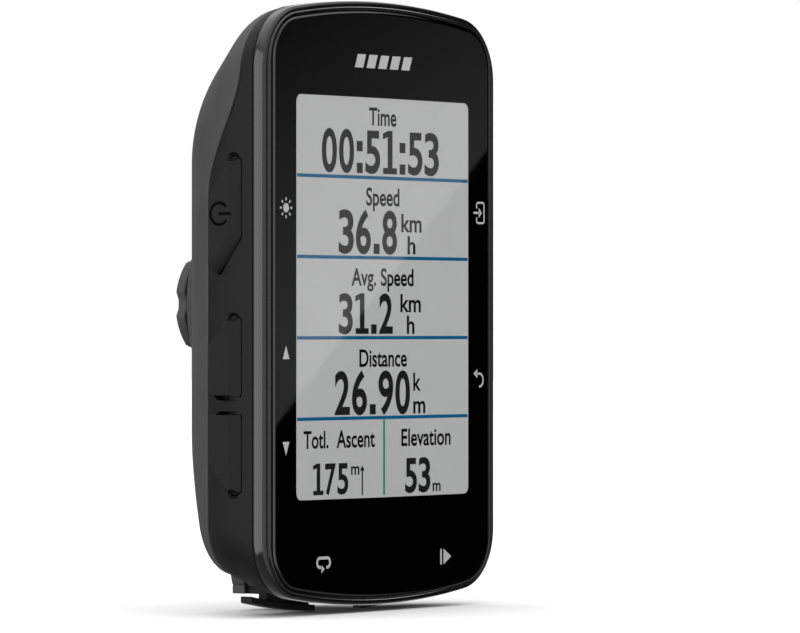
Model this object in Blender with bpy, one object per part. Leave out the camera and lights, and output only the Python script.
"""Cycling computer: a handlebar unit with a flat screen, seven keys and a quarter-turn mount on its back.

The screen faces -Y, the long side stands along Z, and the origin is the centre of the mount's outer face.
Dimensions are millimetres. A depth is measured from the front of the glass towards the mount.
"""

import math

import bmesh
import bpy

MM = 0.001

# Whole object
DEPTH = 21.0
HALF_WIDTH = 24.0
END_RADIUS = 124.0

# Case: outlines that shrink towards a flat back
FULL_DEPTH = 3.0
BACK_DEPTH = 17.3
BACK_HALF_WIDTH = 13.0
SIDE_EXPONENT = 1.16
TOP_EDGE = [(0.0, 36.25), (2.0, 36.25), (6.9, 35.65), (17.3, 24.5), (17.5, 24.2)]
BOTTOM_EDGE = [(0.0, -36.1), (2.0, -36.1), (10.3, -33.3), (11.6, -33.2), (17.3, -17.7), (17.5, -17.1)]
EDGE_ROUND = 3.2
TOP_CORNERS = [(1.5, 7.2), (5.0, 12.0), (9.0, 12.0), (13.0, 9.8)]
BOTTOM_CORNERS = [(1.5, 7.2), (5.0, 8.0), (9.0, 6.4), (13.0, 7.6)]

# Seam between the dark side skin and the rear cover: (height, depth) at its two levels
SEAM_HIGH = (27.0, 3.8)
SEAM_LOW = (12.5, 9.0)
SEAM_FOOT_DEPTH = 9.1
SEAM_GAP = 0.15

# Walls and gaps
SKIN_WALL = 1.55
FIT = 0.15
WALL = 3.0
BACK_WALL = 1.5
BAND_END = 1.75

# Glass, bezel and display
GLASS_HALF_WIDTH, GLASS_HALF_HEIGHT, GLASS_CORNER = 22.1, 34.8, 5.0
GLASS_END_RADIUS = 122.0
FLAT_END = 4000.0
GLASS_THICK = 1.0
GLASS_CHAMFER = (0.3, 0.15)
GLASS_GAP = 0.12
LEDGE = (19.5, 27.4, -28.2)
SCREEN = (17.85, 24.68, -23.22)
PANEL_DEPTHS = (1.45, 2.75)
LIGHT_DEPTHS = (2.87, 3.5)
FRAME_DEPTHS = (1.6, 3.82)
FRAME_FLOOR = 3.62
CHASSIS_FRONT, PLATE_BACK, CHASSIS_BACK = 3.3, 4.7, 8.2
SHELF_DEPTH = 9.2

# Keys
KEY_FACE = 24.5
KEY_SHOULDER = 23.85
KEY_BASE = 22.95
KEY_FRONT, KEY_BACK = 3.55, 8.1
KEY_CHAMFER = 1.5
KEY_GAP = 0.3
POST_DEPTH = 7.05
POST_REACH = 20.35
POST_SIZE = (1.5, 2.4)
POST_WINDOW_DEPTHS, POST_WINDOW_LENGTH = (6.0, 8.0), 3.4
# Depths and reaches of cutters that pass right through the case
PAST_SIDE, PAST_BACK, PAST_FOOT = (20.0, 27.0), 20.0, -40.0
SWITCH_FACE = 19.8
SWITCH_SIZE = (2.0, 1.5, 3.4)
BOTTOM_KEYS = {"lap_key": -1, "start_key": 1}
BOTTOM_KEY_ENDS = (5.0, 17.8)
BOTTOM_KEY_DEPTHS = (6.6, 8.25)
BOTTOM_KEY_FACE = -37.03
BOTTOM_KEY_THICK = 0.8
BOTTOM_KEY_ARC = 100.0
BOTTOM_STEM_ENDS = (6.0, 14.5)
BOTTOM_STEM_DEPTHS = (6.8, 8.05)
BOTTOM_STEM_HEIGHTS = (-36.7, -34.08)
BOTTOM_POST_CENTRE = 12.0
BOTTOM_POST = (2.4, (6.6, 7.9), (-35.4, -32.75))
BOTTOM_POST_GAP = 0.4
BOTTOM_WINDOW_TOP, BOTTOM_POST_WINDOW_TOP = -32.0, -30.0
BOTTOM_SWITCH_FACE = -32.1

# Board
BOARD_FRONT, BOARD_BACK = 5.3, 6.1
BOARD_EDGES = (20.4, 32.4, -31.6)
BOARD_CORNERS = (9.5, 5.6)
CHIP_GAP = 0.12

# Quarter-turn mount
NECK_RADIUS = 11.0
TAB_RADIUS = 13.95
TAB_WIDTH = 11.5
TAB_CORNER = 0.75
TAB_THICK = 1.4
TAB_NOTCH = (2.8, 0.5)
SPIGOT_RADIUS = 9.4
# Raised pad round the neck: (radius, depth) from its foot to its face
PAD = [(16.7, 15.9), (15.8, 17.7), (15.45, 18.05)]

# Port block, connector and weather cap
BLOCK_FRONT, BLOCK_STEP, BLOCK_BACK = 9.6, 14.9, 16.7
BLOCK_FOOT, BLOCK_TOP = -34.0, -26.0
BLOCK_HALF_WIDTH, BLOCK_NARROW_HALF_WIDTH, BLOCK_FOOT_HALF_WIDTH = 8.6, 7.4, 8.1
BLOCK_NARROWING = 1.8
CHEEK_INNER, CHEEK_FOOT = 7.5, -34.9
PORT_BORE_HALF_WIDTH, PORT_BORE_DEPTHS, PORT_BORE_TOP = 4.2, (11.4, 14.6), -27.5
CONNECTOR_HALF_WIDTH, CONNECTOR_DEPTHS = 3.9, (11.7, 14.3)
CONNECTOR_WALL = 0.45
CONNECTOR_FOOT, CONNECTOR_FLOOR, CONNECTOR_TOP = -33.6, -29.0, -28.0
CAP_FRONT, CAP_THICK, CAP_HALF_WIDTH, CAP_GAP = 9.9, 0.8, 7.4, 0.12
PLUG_HALF_WIDTH, PLUG_DEPTHS, PLUG_TOP = 2.9, (12.5, 13.5), -33.2
HINGE_DEPTH = 16.3

# Battery, vent and screws
BATTERY_DEPTHS = (10.2, 14.8)
BATTERY_HALF_WIDTH, BATTERY_LOW, BATTERY_HIGH = 12.4, -15.0, 13.0
VENT_SPOT = (-6.0, 19.2)
CASE_SCREW_HEAD, BOARD_SCREW_HEAD = 13.2, 6.95
CASE_SCREWS = [(16.4, 16.6), (-16.4, 16.6), (15.8, -20.5), (-15.8, -20.5)]
BOARD_SCREWS = [(-15.5, 27.0), (12.6, 29.6), (14.5, -13.0), (-14.5, -27.9)]

MATERIALS = {
    "glass": ((0.006, 0.006, 0.007), 0.05, 0.0),
    "bezel": ((0.012, 0.012, 0.013), 0.16, 0.0),
    "skin": ((0.02, 0.02, 0.021), 0.6, 0.0),
    "cover": ((0.075, 0.075, 0.077), 0.5, 0.0),
    "screen": ((0.42, 0.43, 0.43), 0.3, 0.0),
    "plastic": ((0.03, 0.03, 0.032), 0.5, 0.0),
    "metal": ((0.55, 0.55, 0.56), 0.3, 1.0),
    "steel": ((0.35, 0.35, 0.36), 0.3, 1.0),
    "board": ((0.01, 0.09, 0.035), 0.4, 0.0),
    "chip": ((0.015, 0.015, 0.016), 0.35, 0.0),
    "ceramic": ((0.6, 0.56, 0.45), 0.5, 0.0),
    "foil": ((0.25, 0.26, 0.28), 0.35, 0.6),
    "foam": ((0.03, 0.03, 0.03), 0.9, 0.0),
    "seal": ((0.25, 0.03, 0.02), 0.7, 0.0),
    "flex": ((0.45, 0.2, 0.03), 0.35, 0.0),
    "red_wire": ((0.45, 0.02, 0.02), 0.4, 0.0),
    "black_wire": ((0.01, 0.01, 0.01), 0.4, 0.0),
    "film": ((0.8, 0.8, 0.78), 0.4, 0.0),
}


# ---------------------------------------------------------------- mesh helpers


def clear_scene():
    for obj in list(bpy.data.objects):
        bpy.data.objects.remove(obj, do_unlink=True)


def material(slot):
    found = bpy.data.materials.get(slot)
    if found:
        return found
    made = bpy.data.materials.new(slot)
    made.use_nodes = True
    color, roughness, metallic = MATERIALS[slot]
    shader = made.node_tree.nodes["Principled BSDF"]
    shader.inputs["Base Color"].default_value = (*color, 1.0)
    shader.inputs["Roughness"].default_value = roughness
    shader.inputs["Metallic"].default_value = metallic
    made.diffuse_color = (*color, 1.0)
    return made


def mesh_object(name, points, faces, slot):
    """A closed mesh from (x, depth, z) points, with its faces turned outwards."""
    mesh = bpy.data.meshes.new(name)
    mesh.from_pydata([(x * MM, (depth - DEPTH) * MM, z * MM) for x, depth, z in points], [], faces)
    shape = bmesh.new()
    shape.from_mesh(mesh)
    bmesh.ops.recalc_face_normals(shape, faces=shape.faces)
    if shape.calc_volume(signed=True) < 0:
        bmesh.ops.reverse_faces(shape, faces=shape.faces)
    shape.to_mesh(mesh)
    shape.free()
    mesh.shade_smooth()
    mesh.set_sharp_from_angle(angle=math.radians(32))
    obj = bpy.data.objects.new(name, mesh)
    bpy.context.scene.collection.objects.link(obj)
    mesh.materials.append(material(slot))
    return obj


def side_faces(rings, count, closed):
    """Quads that join each ring of points to the next, and the last to the first where closed."""
    faces = []
    steps = rings if closed else rings - 1
    for ring in range(steps):
        near, far = ring * count, (ring + 1) % rings * count
        for k in range(count):
            after = (k + 1) % count
            faces.append((near + k, near + after, far + after, far + k))
    return faces


def lofted(name, rings, slot):
    """A solid through rings of (x, depth, z) points, with a cap on each end."""
    count = len(rings[0])
    faces = side_faces(len(rings), count, False)
    faces.append(tuple(range(count)))
    faces.append(tuple(range((len(rings) - 1) * count, len(rings) * count)))
    return mesh_object(name, [p for ring in rings for p in ring], faces, slot)


def hoop(name, rings, slot):
    """A ring-shaped solid: the rings are its cross-section's corners, each carried round the outline."""
    points = [p for ring in rings for p in ring]
    return mesh_object(name, points, side_faces(len(rings), len(rings[0]), True), slot)


def at_depth(loop, depth):
    return [(x, depth, z) for x, z in loop]


def plate(name, loop, front, back, slot):
    return lofted(name, [at_depth(loop, front), at_depth(loop, back)], slot)


def rectangle(left, right, low, high):
    return [(left, low), (right, low), (right, high), (left, high)]


def chamfered(left, right, low, high, cut):
    """A rectangle with cut corners."""
    return [
        (left + cut, low),
        (right - cut, low),
        (right, low + cut),
        (right, high - cut),
        (right - cut, high),
        (left + cut, high),
        (left, high - cut),
        (left, low + cut),
    ]


def box(name, x_range, depth_range, z_range, slot, cut=0.0):
    loop = rectangle(*x_range, *z_range)
    if cut:
        loop = chamfered(*x_range, *z_range, cut)
    return plate(name, loop, *depth_range, slot)


def circle(x, z, radius, sides):
    turn = 2 * math.pi / sides
    return [(x + radius * math.cos(k * turn), z + radius * math.sin(k * turn)) for k in range(sides)]


def drum(name, x, z, radius, front, back, slot, sides=24):
    return plate(name, circle(x, z, radius, sides), front, back, slot)


def helper(obj):
    """Marks an object as a cutter or a joined piece, which isn't a part by itself."""
    obj.hide_render = True
    obj.display_type = "WIRE"
    return obj


def combine(obj, other, operation):
    modifier = obj.modifiers.new(other.name, "BOOLEAN")
    modifier.operation = operation
    modifier.solver = "EXACT"
    modifier.object = helper(other)


def cut(obj, *cutters):
    for cutter in cutters:
        combine(obj, cutter, "DIFFERENCE")


def join(obj, *others):
    for other in others:
        combine(obj, other, "UNION")


# ---------------------------------------------------------------- case shape


def smooth_step(t):
    t = min(max(t, 0.0), 1.0)
    return t * t * (3 - 2 * t)


def rounded_line(corners, radius, steps=5):
    """The open line through corners, with each inner corner turned into an arc."""
    line = [corners[0]]
    for before, corner, after in zip(corners, corners[1:], corners[2:]):
        back = (before[0] - corner[0], before[1] - corner[1])
        ahead = (after[0] - corner[0], after[1] - corner[1])
        back_length, ahead_length = math.hypot(*back), math.hypot(*ahead)
        turn = math.acos((back[0] * ahead[0] + back[1] * ahead[1]) / (back_length * ahead_length))
        reach = min(radius / math.tan(turn / 2), 0.45 * back_length, 0.45 * ahead_length)
        for k in range(steps + 1):
            t = k / steps
            weights = ((1 - t) ** 2, t * t)
            line.append(
                tuple(
                    corner[i]
                    + weights[0] * reach * back[i] / back_length
                    + weights[1] * reach * ahead[i] / ahead_length
                    for i in (0, 1)
                )
            )
    return line + [corners[-1]]


def height_at(line, depth):
    """The line's height at a depth, by straight interpolation, level before its start and past its end."""
    depth = max(depth, line[0][0])
    for (d0, z0), (d1, z1) in zip(line, line[1:]):
        if depth <= d1:
            return z0 + (z1 - z0) * (depth - d0) / (d1 - d0)
    return line[-1][1]


TOP_LINE = rounded_line(TOP_EDGE, EDGE_ROUND)
BOTTOM_LINE = rounded_line(BOTTOM_EDGE, EDGE_ROUND)


def half_width_at(depth):
    t = (min(max(depth, FULL_DEPTH), BACK_DEPTH) - FULL_DEPTH) / (BACK_DEPTH - FULL_DEPTH)
    return BACK_HALF_WIDTH + (HALF_WIDTH - BACK_HALF_WIDTH) * max(1 - t * t, 0.0) ** (SIDE_EXPONENT / 2)


def rounded_loop(half_width, top, bottom, corners, end_radius=END_RADIUS, corner_steps=7, end_steps=6):
    """(x, z) points round an upright rectangle with round corners and slightly bulging ends.

    corners holds the top and the bottom radius.
    """

    def arc(cx, cz, radius, start, end, steps):
        return [
            (cx + radius * math.cos(start + (end - start) * k / steps),
             cz + radius * math.sin(start + (end - start) * k / steps))
            for k in range(steps + 1)
        ]

    def end_points(height, corner):
        """One end from the right side to the left, as if it were the top."""
        reach = end_radius - corner
        drop = end_radius - math.sqrt(reach**2 - (half_width - corner) ** 2)
        lean = math.acos((half_width - corner) / reach)
        points = arc(half_width - corner, height - drop, corner, 0, lean, corner_steps)
        points += arc(0, height - end_radius, end_radius, lean, math.pi - lean, end_steps)[1:-1]
        return points + arc(corner - half_width, height - drop, corner, math.pi - lean, math.pi, corner_steps)

    lower = [(-x, -z) for x, z in end_points(-bottom, corners[1])]
    return end_points(top, corners[0]) + lower


def case_loop(depth, inset=0.0, shift=0.0):
    """The case's outline at a depth, moved in by inset and read shift further back."""
    read = min(depth + shift, BACK_DEPTH)
    corners = [max(height_at(radii, read) - inset, 1.2) for radii in (TOP_CORNERS, BOTTOM_CORNERS)]
    return rounded_loop(
        half_width_at(read) - inset,
        height_at(TOP_LINE, read) - inset,
        height_at(BOTTOM_LINE, read) + inset,
        corners,
    )


def case_depths(front, back):
    """Depths from front to back, closer together where the case curves most."""
    span = BACK_DEPTH - FULL_DEPTH
    curved = [FULL_DEPTH + span * math.sin(math.radians(9 * k)) for k in range(11)]
    curved = sorted(curved + [BAND_END, CHASSIS_FRONT, CHASSIS_BACK, SHELF_DEPTH])
    return [front] + [d for d in curved if front + 0.2 < d < back - 0.1] + [back]


def case_solid(name, front, back, slot, inset=0.0, shift=0.0):
    rings = [at_depth(case_loop(d, inset, shift), d) for d in case_depths(front, back)]
    return lofted(name, rings, slot)


def seam_line(gap=0.0):
    """(depth, z) points down the seam, moved back by gap."""
    high, low = SEAM_HIGH, SEAM_LOW
    line = [(high[1] + gap, 45.0)]
    steps = 10
    for k in range(steps + 1):
        t = k / steps
        z = high[0] + (low[0] - high[0]) * t
        line.append((high[1] + (low[1] - high[1]) * smooth_step(t) + gap, z))
    line.append((SEAM_FOOT_DEPTH + gap, -20.0))
    line.append((SEAM_FOOT_DEPTH + gap, -45.0))
    return line


def prism_across(name, outline, left, right, slot):
    """A solid whose outline is (depth, z) points, running along X."""
    rings = [[(x, depth, z) for depth, z in outline] for x in (left, right)]
    return lofted(name, rings, slot)


def seam_block(name, forward):
    """Everything in front of the seam, or everything behind it."""
    if forward:
        outline = seam_line() + [(-5.0, -45.0), (-5.0, 45.0)]
    else:
        outline = seam_line(SEAM_GAP) + [(30.0, -45.0), (30.0, 45.0)]
    return prism_across(name, outline, -40.0, 40.0, "plastic")


# ---------------------------------------------------------------- front


def glass_loop(grow=0.0):
    return rounded_loop(
        GLASS_HALF_WIDTH + grow,
        GLASS_HALF_HEIGHT + grow,
        -GLASS_HALF_HEIGHT - grow,
        (GLASS_CORNER + grow, GLASS_CORNER + grow),
        GLASS_END_RADIUS,
    )


def window_loop(half_width, top, bottom, corner=1.2):
    return rounded_loop(half_width, top, bottom, (corner, corner), FLAT_END, corner_steps=3, end_steps=2)


def ledge_loop(grow=0.0):
    """The straight-sided opening behind the glass, which the display fills."""
    return rounded_loop(LEDGE[0] + grow, LEDGE[1] + grow, LEDGE[2] - grow, (1.8, 1.8), FLAT_END)


def make_cover_glass():
    side, face = GLASS_CHAMFER
    lofted(
        "cover_glass",
        [
            at_depth(glass_loop(-side), 0.0),
            at_depth(glass_loop(), face),
            at_depth(glass_loop(), GLASS_THICK),
        ],
        "glass",
    )


def make_glass_adhesive():
    outer = glass_loop(-0.3)
    inner = ledge_loop(0.2)
    front, back = GLASS_THICK + 0.12, GLASS_THICK + 0.3
    rings = [at_depth(outer, front), at_depth(outer, back), at_depth(inner, back), at_depth(inner, front)]
    hoop("glass_adhesive", rings, "foam")


def bezel_rings():
    """The bezel's cross-section as shares of the way from the glass to the case's edge."""
    inner, outer = glass_loop(GLASS_GAP), case_loop(BAND_END)

    def between(share):
        return [(a + (c - a) * share, b + (d - b) * share) for (a, b), (c, d) in zip(inner, outer)]

    front_lips = [
        (0.0, 0.60),
        (0.17, 0.60),
        (0.21, 0.16),
        (0.30, 0.07),
        (0.50, 0.06),
        (0.58, 0.12),
        (0.62, 0.34),
        (0.65, 0.34),
        (0.68, 0.22),
        (0.80, 0.30),
        (0.90, 0.42),
        (1.0, 0.55),
    ]
    rings = [at_depth(between(share), depth) for share, depth in front_lips]
    ledge = ledge_loop()
    ledge_depth = GLASS_THICK + 0.42
    rings.append(at_depth(outer, BAND_END))
    for depth in (BAND_END, CHASSIS_FRONT - FIT):
        rings.append(at_depth(case_loop(depth, SKIN_WALL + FIT), depth))
    rings.append(at_depth(ledge, CHASSIS_FRONT - FIT))
    rings.append(at_depth(ledge, ledge_depth))
    rings.append(at_depth(inner, ledge_depth))
    return rings


def make_display():
    width, top, bottom = SCREEN
    panel = window_loop(width + 0.6, top + 1.0, bottom - 2.2)
    plate("lcd_panel", panel, *PANEL_DEPTHS, "screen")
    plate("backlight", panel, *LIGHT_DEPTHS, "film")
    outer = window_loop(width + 1.2, top + 1.6, bottom - 2.8)
    inner = window_loop(width + 0.8, top + 1.2, bottom - 2.4)
    opening = window_loop(width - 1.0, top - 1.0, bottom + 1.0)
    front, back = FRAME_DEPTHS
    rings = [
        at_depth(outer, front),
        at_depth(outer, back),
        at_depth(opening, back),
        at_depth(opening, FRAME_FLOOR),
        at_depth(inner, FRAME_FLOOR),
        at_depth(inner, front),
    ]
    frame = hoop("display_frame", rings, "metal")
    cut(frame, box("frame_flex_slot", (-5.6, 5.6), (1.0, 5.0), (-28.0, -25.2), "metal"))


def make_display_flex():
    """A ribbon that folds back from the panel's lower edge to the front of the board."""
    thick = 0.15
    front, back, fold, panel_end, board_end = 2.2, 5.12, -27.7, -25.6, -22.0
    outline = [
        (front, panel_end),
        (front, fold),
        (back, fold),
        (back, board_end),
        (back - thick, board_end),
        (back - thick, fold + thick),
        (front + thick, fold + thick),
        (front + thick, panel_end),
    ]
    prism_across("display_flex", outline, -5.0, 5.0, "flex")


# ---------------------------------------------------------------- keys


def key_shapes():
    """(depth, z) outline of each side key, and which side it is on."""
    front, back = KEY_FRONT, KEY_BACK
    face = front + KEY_CHAMFER
    power = [(front, 16.9), (face, 17.3), (back, 12.3), (back, 4.5), (7.0, 3.3), (front, 7.6)]
    up = [(front, -1.8), (face, -1.4), (back, -5.1), (back, -10.4), (7.6, -10.9), (front, -10.9)]
    down = [(front, -22.1), (front, -13.1), (7.6, -13.1), (back, -13.7), (back, -18.9), (face, -22.5)]
    back_key = [(front, -14.0), (front, -3.6), (face, -3.2), (back, -6.4), (back, -11.4), (5.0, -14.4)]
    return {
        "power_key": (power, -1, 10.5),
        "up_key": (up, -1, -6.6),
        "down_key": (down, -1, -17.4),
        "enter_key": (power, 1, 10.5),
        "back_key": (back_key, 1, -8.8),
    }


def moved_out(outline, distance):
    """A convex outline with every side moved out by a distance."""
    area = sum(a[0] * b[1] - b[0] * a[1] for a, b in zip(outline, outline[1:] + outline[:1]))
    sign = 1 if area > 0 else -1
    count = len(outline)
    moved = []
    for k in range(count):
        before, here, after = outline[k - 1], outline[k], outline[(k + 1) % count]
        normals = []
        for start, end in ((before, here), (here, after)):
            length = math.hypot(end[0] - start[0], end[1] - start[1])
            normals.append((sign * (end[1] - start[1]) / length, -sign * (end[0] - start[0]) / length))
        (ax, az), (bx, bz) = normals
        scale = distance / (1 + ax * bx + az * bz)
        moved.append((here[0] + (ax + bx) * scale, here[1] + (az + bz) * scale))
    return moved


def key_rings(outline, side):
    """Base, shoulder and face of a side key: the front edge is a broad chamfer."""
    face = []
    for depth, z in moved_out(outline, -0.25):
        face.append((max(depth, KEY_FRONT + KEY_CHAMFER), z))
    base = [(side * KEY_BASE, depth, z) for depth, z in outline]
    shoulder = [(side * KEY_SHOULDER, depth, z) for depth, z in outline]
    return [base, shoulder, [(side * KEY_FACE, depth, z) for depth, z in face]]


def make_side_keys():
    half_depth, half_height = POST_SIZE[0] / 2, POST_SIZE[1] / 2
    for name, (outline, side, centre) in key_shapes().items():
        key = lofted(name, key_rings(outline, side), "skin")
        reach = sorted((side * POST_REACH, side * (KEY_BASE + 0.3)))
        depths = (POST_DEPTH - half_depth, POST_DEPTH + half_depth)
        heights = (centre - half_height, centre + half_height)
        join(key, box(name + "_post", reach, depths, heights, "skin"))


def arc_height(x, lowest):
    """Height at x of the arc the bottom keys follow, where it reaches lowest at the middle."""
    return lowest + BOTTOM_KEY_ARC - math.sqrt(BOTTOM_KEY_ARC**2 - x * x)


def bottom_key_outline(side, ends, low, high, grow=0.0):
    """(x, z) points of a bar between two ends that follows the bottom keys' arc."""
    near, far = ends[0] - grow, ends[1] + grow
    steps = 6
    spots = [near + (far - near) * k / steps for k in range(steps + 1)]
    outline = [(side * x, arc_height(x, low)) for x in spots]
    return outline + [(side * x, arc_height(x, high)) for x in reversed(spots)]


def across_post(side, width):
    """The x range of a width centred on a bottom key's post."""
    return sorted((side * BOTTOM_POST_CENTRE - width / 2, side * BOTTOM_POST_CENTRE + width / 2))


def make_bottom_keys():
    """A thin bar under the case on a stem that enters it, with a post that reaches the switch."""
    width, post_depths, post_heights = BOTTOM_POST
    for name, side in BOTTOM_KEYS.items():
        bar = bottom_key_outline(side, BOTTOM_KEY_ENDS, BOTTOM_KEY_FACE, BOTTOM_KEY_FACE + BOTTOM_KEY_THICK)
        stem = bottom_key_outline(side, BOTTOM_STEM_ENDS, *BOTTOM_STEM_HEIGHTS)
        key = plate(name, bar, *BOTTOM_KEY_DEPTHS, "skin")
        join(
            key,
            plate(name + "_stem", stem, *BOTTOM_STEM_DEPTHS, "skin"),
            box(name + "_post", across_post(side, width), post_depths, post_heights, "skin"),
        )


# ---------------------------------------------------------------- case parts


def make_side_skin():
    skin = lofted(
        "side_skin",
        [at_depth(case_loop(d), d) for d in case_depths(BAND_END + 0.12, 10.5)],
        "skin",
    )
    cut(skin, case_solid("skin_bore", 0.5, 12.0, "skin", SKIN_WALL))
    combine(skin, seam_block("skin_side_of_seam", True), "INTERSECT")
    for name, (outline, side, _centre) in key_shapes().items():
        reach = sorted(side * x for x in PAST_SIDE)
        cut(skin, prism_across(name + "_window", moved_out(outline, KEY_GAP), *reach, "skin"))
    front, back = BOTTOM_POST[1][0] - KEY_GAP, BOTTOM_STEM_DEPTHS[1] + KEY_GAP
    for name, side in BOTTOM_KEYS.items():
        outline = bottom_key_outline(side, BOTTOM_STEM_ENDS, PAST_FOOT, BOTTOM_WINDOW_TOP, KEY_GAP)
        cut(skin, plate(name + "_window", outline, front, back, "skin"))


def block_back_outline():
    """(x, z) outline of the wider back part of the port block, which narrows towards its foot."""
    right = [
        (BLOCK_FOOT_HALF_WIDTH, BLOCK_FOOT),
        (BLOCK_HALF_WIDTH, BLOCK_FOOT + BLOCK_NARROWING),
        (BLOCK_HALF_WIDTH, BLOCK_TOP),
    ]
    return right + [(-x, z) for x, z in reversed(right)]


def make_rear_cover():
    wide, narrow, bore = BLOCK_HALF_WIDTH, BLOCK_NARROW_HALF_WIDTH, PORT_BORE_HALF_WIDTH
    cover = case_solid("rear_cover", FULL_DEPTH, BACK_DEPTH, "cover")
    combine(cover, seam_block("cover_side_of_seam", False), "INTERSECT")
    join(
        cover,
        box("port_block", (-narrow, narrow), (BLOCK_FRONT, BLOCK_STEP + 1.0), (BLOCK_FOOT, BLOCK_TOP), "cover"),
        plate("port_block_back", block_back_outline(), BLOCK_STEP, BLOCK_BACK, "cover"),
        lofted("mount_pad", [at_depth(circle(0, 0, radius, 48), depth) for radius, depth in PAD], "cover"),
    )
    cut(cover, case_solid("front_hollow", 0.5, SHELF_DEPTH, "cover", SKIN_WALL))
    cavity_back = BACK_DEPTH - BACK_WALL
    rings = []
    for depth in case_depths(SHELF_DEPTH - 0.5, cavity_back):
        loop = case_loop(depth, WALL, BACK_WALL)
        rings.append(at_depth([(x, max(z, -25.0)) for x, z in loop], depth))
    cut(cover, lofted("rear_hollow", rings, "cover"))
    for number, (x, z) in enumerate(CASE_SCREWS, 1):
        join(cover, drum(f"boss_{number}", x, z, 2.3, SHELF_DEPTH, 14.2, "cover", 16))
    for number, (x, z) in enumerate(CASE_SCREWS, 1):
        cut(
            cover,
            drum(f"screw_hole_{number}", x, z, 0.95, 5.0, PAST_BACK, "cover", 12),
            drum(f"screw_recess_{number}", x, z, 1.75, 12.0, PAST_BACK, "cover", 16),
        )
    cut(
        cover,
        drum("spigot_recess", 0, 0, SPIGOT_RADIUS + FIT, 16.5, PAST_BACK, "cover", 36),
        drum("neck_recess", 0, 0, NECK_RADIUS + 0.1, BACK_DEPTH, PAST_BACK, "cover", 36),
        drum("vent_hole", *VENT_SPOT, 0.6, 14.0, PAST_BACK, "cover", 10),
        box("port_bore", (-bore, bore), PORT_BORE_DEPTHS, (PAST_FOOT, PORT_BORE_TOP), "cover"),
        box("cap_seat", (-wide, wide), (BLOCK_FRONT, PAST_BACK), (PAST_FOOT, BLOCK_FOOT), "cover"),
    )
    for side in (-1, 1):
        across = sorted((side * CHEEK_INNER, side * BLOCK_FOOT_HALF_WIDTH))
        join(cover, box("cheek", across, (BLOCK_STEP, BLOCK_BACK), (CHEEK_FOOT, BLOCK_FOOT + 0.1), "cover"))


def tab_outline():
    """(x, z) points of the two mount tabs and the disc between them."""
    half = TAB_WIDTH / 2
    notch_half, notch_depth = TAB_NOTCH[0] / 2, TAB_NOTCH[1]
    edge = math.sqrt(NECK_RADIUS**2 - half**2)
    tip_radius = 7.0
    right = [(edge, -half)]
    steps = 6
    for k in range(steps + 1):
        z = -half + TAB_CORNER + (half - TAB_CORNER - notch_half) * k / steps
        right.append((TAB_RADIUS - tip_radius + math.sqrt(tip_radius**2 - z * z), z))
    right.append((TAB_RADIUS - notch_depth - 0.1, -notch_half * 0.35))
    right += [(x, -z) for x, z in reversed(right)]
    start = math.asin(half / NECK_RADIUS)
    arc_steps = 12
    top = [
        (NECK_RADIUS * math.cos(start + (math.pi - 2 * start) * k / arc_steps),
         NECK_RADIUS * math.sin(start + (math.pi - 2 * start) * k / arc_steps))
        for k in range(1, arc_steps)
    ]
    left = [(-x, -z) for x, z in right]
    return right + top + left + [(-x, -z) for x, z in top]


def make_mount():
    outline = tab_outline()
    bevel = 0.3
    smaller = [(x * (1 - bevel / TAB_RADIUS), z * (1 - bevel / TAB_RADIUS)) for x, z in outline]
    front = DEPTH - TAB_THICK
    mount = lofted(
        "quarter_turn_mount",
        [at_depth(outline, front), at_depth(outline, DEPTH - bevel), at_depth(smaller, DEPTH)],
        "cover",
    )
    join(
        mount,
        drum("mount_neck", 0, 0, NECK_RADIUS - 0.05, BACK_DEPTH + 0.12, front + 0.4, "cover", 36),
        drum("mount_spigot", 0, 0, SPIGOT_RADIUS, 16.65, 18.0, "cover", 36),
    )


def make_mid_frame():
    frame = case_solid("mid_frame", CHASSIS_FRONT, CHASSIS_BACK, "plastic", SKIN_WALL + FIT)
    cut(
        frame,
        case_solid("frame_back_hollow", PLATE_BACK, 12.0, "plastic", WALL),
        plate("frame_front_hollow", window_loop(19.4, 26.8, -26.4, 2.0), 1.0, 3.97, "plastic"),
        box("flex_slot", (-5.6, 5.6), (1.0, 6.0), (-28.4, -25.0), "plastic"),
    )
    for number, (x, z) in enumerate(CASE_SCREWS, 1):
        join(frame, drum(f"frame_boss_{number}", x, z, 1.9, 4.2, CHASSIS_BACK, "plastic", 16))
        cut(frame, drum(f"frame_boss_hole_{number}", x, z, 0.85, 5.2, 12.0, "plastic", 12))
    for number, (x, z) in enumerate(BOARD_SCREWS, 1):
        join(frame, drum(f"board_stud_{number}", x, z, 1.3, 4.2, BOARD_FRONT - 0.15, "plastic", 12))
        cut(frame, drum(f"board_stud_hole_{number}", x, z, 0.6, 4.4, 12.0, "plastic", 10))
    for name, (_outline, side, centre) in key_shapes().items():
        reach = sorted(side * x for x in PAST_SIDE)
        heights = (centre - POST_WINDOW_LENGTH / 2, centre + POST_WINDOW_LENGTH / 2)
        cut(frame, box(name + "_post_window", reach, POST_WINDOW_DEPTHS, heights, "plastic"))
    front, back = BOTTOM_POST[1]
    for name, side in BOTTOM_KEYS.items():
        across = across_post(side, POST_WINDOW_LENGTH)
        depths = (front - BOTTOM_POST_GAP, back + BOTTOM_POST_GAP)
        cut(frame, box(name + "_post_window", across, depths, (PAST_FOOT, BOTTOM_POST_WINDOW_TOP), "plastic"))


def make_case_seal():
    front, back = CHASSIS_BACK + 0.1, SHELF_DEPTH - 0.12
    outer, inner = SKIN_WALL + 0.35, WALL - 0.2
    corners = [(outer, front), (outer, back), (inner, back), (inner, front)]
    rings = [at_depth(case_loop(depth, inset), depth) for inset, depth in corners]
    hoop("case_seal", rings, "seal")


# ---------------------------------------------------------------- inside


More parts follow.
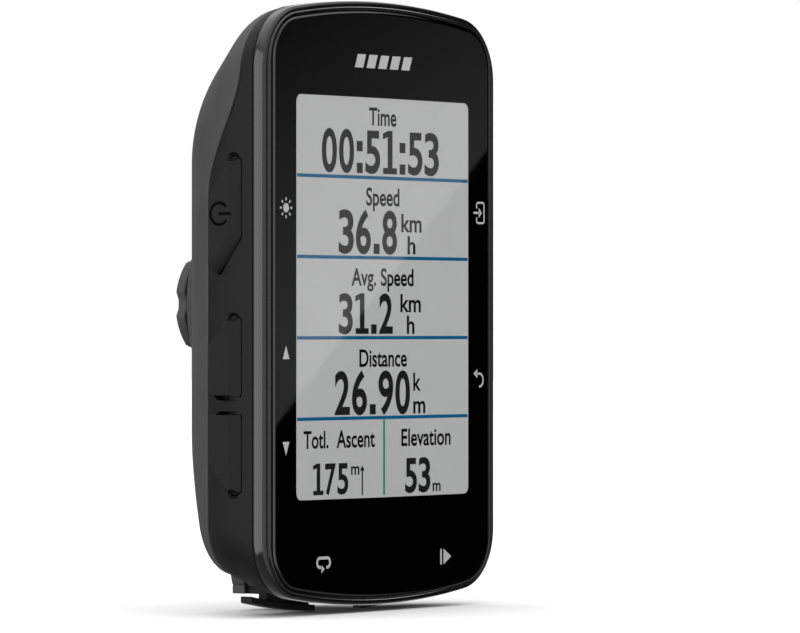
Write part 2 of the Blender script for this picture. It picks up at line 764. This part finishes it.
def make_board():
    loop = rounded_loop(*BOARD_EDGES, BOARD_CORNERS, corner_steps=4, end_steps=4)
    board = plate("main_board", loop, BOARD_FRONT, BOARD_BACK, "board")
    for number, (x, z) in enumerate(CASE_SCREWS, 1):
        cut(board, drum(f"board_clearance_{number}", x, z, 2.2, 4.0, 8.0, "board", 14))
    for number, (x, z) in enumerate(BOARD_SCREWS, 1):
        cut(board, drum(f"board_hole_{number}", x, z, 0.75, 4.0, 8.0, "board", 10))


def on_board(name, x, z, width, height, thick, slot, trim=0.0):
    """A chip, can or module that stands on the back of the board."""
    front = BOARD_BACK + CHIP_GAP
    heights = (z - height / 2, z + height / 2)
    box(name, (x - width / 2, x + width / 2), (front, front + thick), heights, slot, trim)


def make_board_parts():
    on_board("processor_shield", 0.0, -8.0, 17.0, 14.0, 1.8, "metal", 0.6)
    on_board("memory_chip", 3.0, -21.5, 8.0, 10.0, 1.0, "chip")
    on_board("gps_antenna", 0.0, 24.4, 11.0, 11.0, 2.0, "ceramic", 0.5)
    on_board("radio_antenna", -10.8, 29.0, 5.0, 2.0, 1.2, "ceramic")
    on_board("pressure_sensor", -9.6, 20.5, 2.8, 2.8, 1.0, "metal", 0.3)
    on_board("battery_connector", 9.5, 13.0, 5.0, 3.4, 2.2, "film", 0.3)
    drum("beeper", 11.5, 23.6, 4.2, BOARD_BACK + CHIP_GAP, 8.4, "chip", 24)


def make_switches():
    deep, thick, long = SWITCH_SIZE
    depths = (BOARD_BACK + CHIP_GAP, BOARD_BACK + CHIP_GAP + thick)
    for name, (_outline, side, centre) in key_shapes().items():
        across = sorted((side * SWITCH_FACE, side * (SWITCH_FACE - deep)))
        box(name.replace("key", "switch"), across, depths, (centre - long / 2, centre + long / 2), "metal", 0.2)
    for name, side in BOTTOM_KEYS.items():
        across = across_post(side, long)
        heights = (BOTTOM_SWITCH_FACE, BOTTOM_SWITCH_FACE + deep)
        box(name.replace("key", "switch"), across, depths, heights, "metal", 0.2)


def wire(name, route, slot, radius=0.4):
    """A thin lead on one smooth curve through its route."""
    curve = bpy.data.curves.new(name, "CURVE")
    curve.dimensions = "3D"
    curve.bevel_depth = radius * MM
    curve.bevel_resolution = 2
    curve.use_fill_caps = True
    points = smooth_route(route)
    spline = curve.splines.new("POLY")
    spline.points.add(len(points) - 1)
    for spot, (x, depth, z) in zip(spline.points, points):
        spot.co = (x * MM, (depth - DEPTH) * MM, z * MM, 1.0)
    obj = bpy.data.objects.new(name, curve)
    bpy.context.scene.collection.objects.link(obj)
    curve.materials.append(material(slot))


def smooth_route(route, steps=5):
    """Catmull-Rom curve through the route's points."""

    def between(p, q, r, s, t):
        bend = 2 * p - 5 * q + 4 * r - s
        return 0.5 * (2 * q + (r - p) * t + bend * t**2 + (3 * q - p - 3 * r + s) * t**3)

    ends = [route[0]] + list(route) + [route[-1]]
    points = []
    for a, b, c, d in zip(ends, ends[1:], ends[2:], ends[3:]):
        for k in range(steps):
            points.append(tuple(between(p, q, r, s, k / steps) for p, q, r, s in zip(a, b, c, d)))
    return points + [route[-1]]


def make_battery():
    front, back = BATTERY_DEPTHS
    edge = 0.5
    wide, low, high = BATTERY_HALF_WIDTH, BATTERY_LOW, BATTERY_HIGH
    loop = chamfered(-wide, wide, low, high, 1.2)
    smaller = chamfered(edge - wide, wide - edge, low + edge, high - edge, 1.2)
    rings = [
        at_depth(smaller, front),
        at_depth(loop, front + edge),
        at_depth(loop, back - edge),
        at_depth(smaller, back),
    ]
    lofted("battery_cell", rings, "foil")
    box("battery_foam", (-8.5, 8.5), (back + FIT, BACK_DEPTH - BACK_WALL - FIT), (-9.5, 11.0), "foam", 0.8)
    red = [(5.5, 12.2, 13.3), (6.0, 12.0, 15.6), (8.0, 10.4, 17.0), (8.6, 8.4, 16.8), (8.6, 7.4, 15.1)]
    black = [(3.5, 12.2, 13.3), (5.0, 11.6, 15.2), (8.4, 9.6, 15.6), (10.2, 8.2, 15.9), (10.4, 7.4, 15.1)]
    wire("battery_lead_red", red, "red_wire")
    wire("battery_lead_black", black, "black_wire")


def six_lobe(x, z, radius, sides=24):
    """The outline of a six-lobed driver recess."""
    points = []
    for k in range(sides):
        angle = 2 * math.pi * k / sides
        reach = radius * (1 + 0.16 * math.cos(6 * angle))
        points.append((x + reach * math.cos(angle), z + reach * math.sin(angle)))
    return points


def make_screw(name, x, z, head_back, head_radius, head_thick, shank_radius, tip_front):
    """A pan-head screw whose head faces the back, with a driver recess in it."""
    sides = 24
    head_front = head_back - head_thick
    recess = 0.42 * head_radius
    rings = [
        at_depth(circle(x, z, shank_radius * 0.6, sides), tip_front),
        at_depth(circle(x, z, shank_radius, sides), tip_front + 0.3),
        at_depth(circle(x, z, shank_radius, sides), head_front),
        at_depth(circle(x, z, head_radius, sides), head_front),
        at_depth(circle(x, z, head_radius, sides), head_back - 0.25),
        at_depth(circle(x, z, head_radius * 0.8, sides), head_back),
        at_depth(six_lobe(x, z, recess, sides), head_back),
        at_depth(six_lobe(x, z, recess, sides), head_back - 0.5 * head_thick),
    ]
    lofted(name, rings, "steel")


def make_screws():
    for number, (x, z) in enumerate(CASE_SCREWS, 1):
        make_screw(f"case_screw_{number}", x, z, CASE_SCREW_HEAD, 1.55, 1.05, 0.7, 5.6)
    for number, (x, z) in enumerate(BOARD_SCREWS, 1):
        make_screw(f"board_screw_{number}", x, z, BOARD_SCREW_HEAD, 1.2, 0.7, 0.48, 4.6)


def make_vent_membrane():
    """A thin disc that covers the vent hole from inside."""
    drum("vent_membrane", *VENT_SPOT, 2.0, 13.3, 13.45, "film", 18)


# ---------------------------------------------------------------- port


def make_usb_connector():
    wide, wall = CONNECTOR_HALF_WIDTH, CONNECTOR_WALL
    front, back = CONNECTOR_DEPTHS
    shell = box("usb_connector", (-wide, wide), (front, back), (CONNECTOR_FOOT, CONNECTOR_TOP), "metal")
    depths, heights = (front + wall, back - wall), (PAST_FOOT, CONNECTOR_FLOOR)
    cut(shell, box("connector_mouth", (wall - wide, wide - wall), depths, heights, "metal"))


def make_usb_cap():
    """A flap that turns between the block's cheeks about its round back edge, with a plug for the mouth."""
    top = BLOCK_FOOT - CAP_GAP
    bottom = top - CAP_THICK
    radius = CAP_THICK / 2
    outline = [(CAP_FRONT, top), (CAP_FRONT, bottom + 0.3), (CAP_FRONT + 0.3, bottom)]
    steps = 6
    for k in range(steps + 1):
        angle = -math.pi / 2 + math.pi * k / steps
        outline.append((HINGE_DEPTH + radius * math.cos(angle), top - radius + radius * math.sin(angle)))
    cap = prism_across("usb_cap", outline, -CAP_HALF_WIDTH, CAP_HALF_WIDTH, "skin")
    join(cap, box("cap_plug", (-PLUG_HALF_WIDTH, PLUG_HALF_WIDTH), PLUG_DEPTHS, (top - 0.3, PLUG_TOP), "skin"))


def main():
    clear_scene()
    make_cover_glass()
    make_glass_adhesive()
    hoop("front_bezel", bezel_rings(), "bezel")
    make_display()
    make_display_flex()
    make_mid_frame()
    make_side_skin()
    make_rear_cover()
    make_case_seal()
    make_mount()
    make_side_keys()
    make_bottom_keys()
    make_board()
    make_board_parts()
    make_switches()
    make_battery()
    make_screws()
    make_vent_membrane()
    make_usb_connector()
    make_usb_cap()


main()
